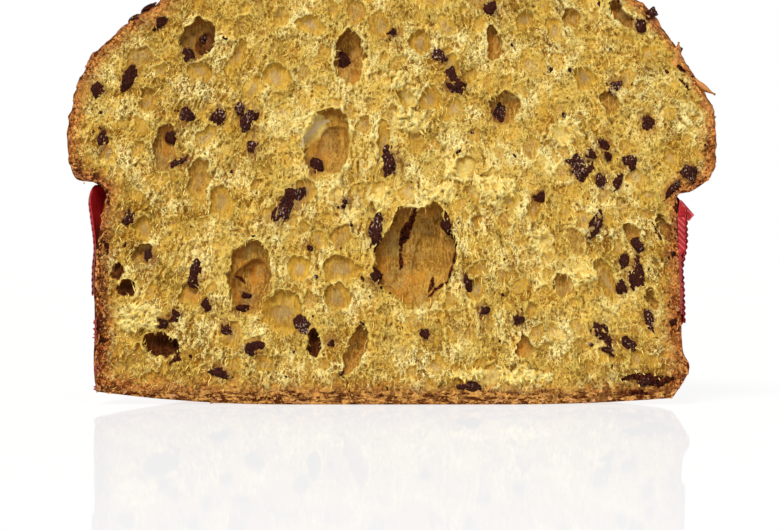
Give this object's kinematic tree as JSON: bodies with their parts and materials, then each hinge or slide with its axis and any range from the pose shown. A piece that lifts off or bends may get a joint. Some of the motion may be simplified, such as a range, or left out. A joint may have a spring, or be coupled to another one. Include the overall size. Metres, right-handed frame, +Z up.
{
  "type": "chocolate panettone half",
  "caption": "Half of a round domed festive loaf, cut face open, with chocolate in an airy yellow crumb, a browned crust and a red fluted paper case.",
  "frame": {"origin": "on the flat of the base, under the middle of the half, 50 mm behind the cut", "axes": "+Z up through the dome, +X to the right along the cut as the cut face is looked at, -Y out of the cut face"},
  "size_m": [0.2195, 0.1129, 0.1583],
  "materials": {
    "baked_loaf": null,
    "red_paper": "dyed deep red fluted baking paper, faintly glossy with butter"
  },
  "bodies": {
    "root": {"loaf": "baked_loaf", "paper_case": "red_paper"}
  },
  "joints": []
}
